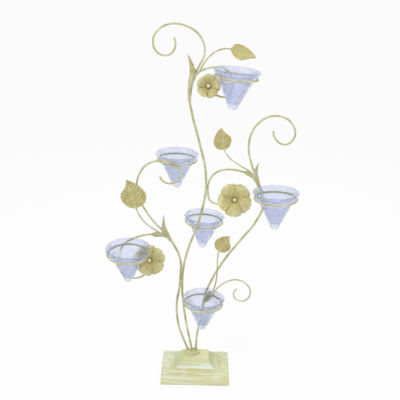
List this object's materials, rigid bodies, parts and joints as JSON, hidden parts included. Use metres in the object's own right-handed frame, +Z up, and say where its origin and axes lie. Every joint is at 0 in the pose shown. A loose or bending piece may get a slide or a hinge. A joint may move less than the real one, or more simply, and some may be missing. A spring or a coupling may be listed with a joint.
{
  "type": "votive candle holder",
  "caption": "Tree of bent painted wires on a stepped base, with leaves, flowers and curls, whose rings hold lift-out conical glass cups for votive candles.",
  "frame": {"origin": "middle of the base's underside, on the surface that the holder stands on", "axes": "+Z up, the holder's front and its viewer towards -Y, +X to the viewer's right"},
  "size_m": [0.315, 0.201, 0.6528],
  "materials": {
    "base_paint": "cast metal with pale yellow-green paint, brushed over with white",
    "felt": "thin felt",
    "zinc_steel": "zinc plated",
    "wire_paint": "cream-gold paint, slightly uneven",
    "leaf_gold": "antique gold paint with brown and green patches",
    "bead_paint": "glossy cream paint",
    "tinted_glass": "clear pressed glass with a faint lavender tint"
  },
  "bodies": {
    "stand": {"base_casting": "base_paint", "felt_sole": "felt", "stem_collar": "wire_paint", "collar_bolt": "zinc_steel", "bolt_washer": "zinc_steel", "stem_centre": "wire_paint", "stem_left": "wire_paint", "stem_right": "wire_paint", "sheath_top": "wire_paint", "sheath_left": "wire_paint", "sheath_right": "wire_paint", "sheath_low": "wire_paint", "tendril_top": "wire_paint", "tendril_left": "wire_paint", "tendril_right": "wire_paint", "tendril_low": "wire_paint", "scroll_top": "wire_paint", "scroll_left": "wire_paint", "scroll_right": "wire_paint", "leaf_stem_top": "wire_paint", "leaf_stem_left": "wire_paint", "leaf_stem_right": "wire_paint", "leaf_stem_low": "wire_paint", "leaf_top": "leaf_gold", "leaf_left": "leaf_gold", "leaf_right": "leaf_gold", "leaf_low": "leaf_gold", "flower_top": "leaf_gold", "flower_left": "leaf_gold", "flower_right": "leaf_gold", "flower_bead_top": "bead_paint", "flower_bead_left": "bead_paint", "flower_bead_right": "bead_paint", "ring_top": "wire_paint", "ring_upper": "wire_paint", "ring_right": "wire_paint", "ring_middle": "wire_paint", "ring_left": "wire_paint", "ring_low": "wire_paint", "weld_beads": "wire_paint"},
    "cup_top": {"cup_top": "tinted_glass"},
    "cup_upper": {"cup_upper": "tinted_glass"},
    "cup_right": {"cup_right": "tinted_glass"},
    "cup_middle": {"cup_middle": "tinted_glass"},
    "cup_left": {"cup_left": "tinted_glass"},
    "cup_low": {"cup_low": "tinted_glass"}
  },
  "joints": [
    {"name": "cup_top_lift", "type": "slide", "parent": "stand", "child": "cup_top", "axis": [0.0784, -0.0349, 0.9963], "range_m": [0, 0.056]},
    {"name": "cup_upper_lift", "type": "slide", "parent": "stand", "child": "cup_upper", "axis": [0.0174, -0.0436, 0.9989], "range_m": [0, 0.056]},
    {"name": "cup_right_lift", "type": "slide", "parent": "stand", "child": "cup_right", "axis": [-0.0227, 0, 0.9997], "range_m": [0, 0.056]},
    {"name": "cup_middle_lift", "type": "slide", "parent": "stand", "child": "cup_middle", "axis": [0.0384, -0.0175, 0.9991], "range_m": [0, 0.056]},
    {"name": "cup_left_lift", "type": "slide", "parent": "stand", "child": "cup_left", "axis": [0.0087, -0.0785, 0.9969], "range_m": [0, 0.056]},
    {"name": "cup_low_lift", "type": "slide", "parent": "stand", "child": "cup_low", "axis": [0.0297, 0.0175, 0.9994], "range_m": [0, 0.056]}
  ]
}
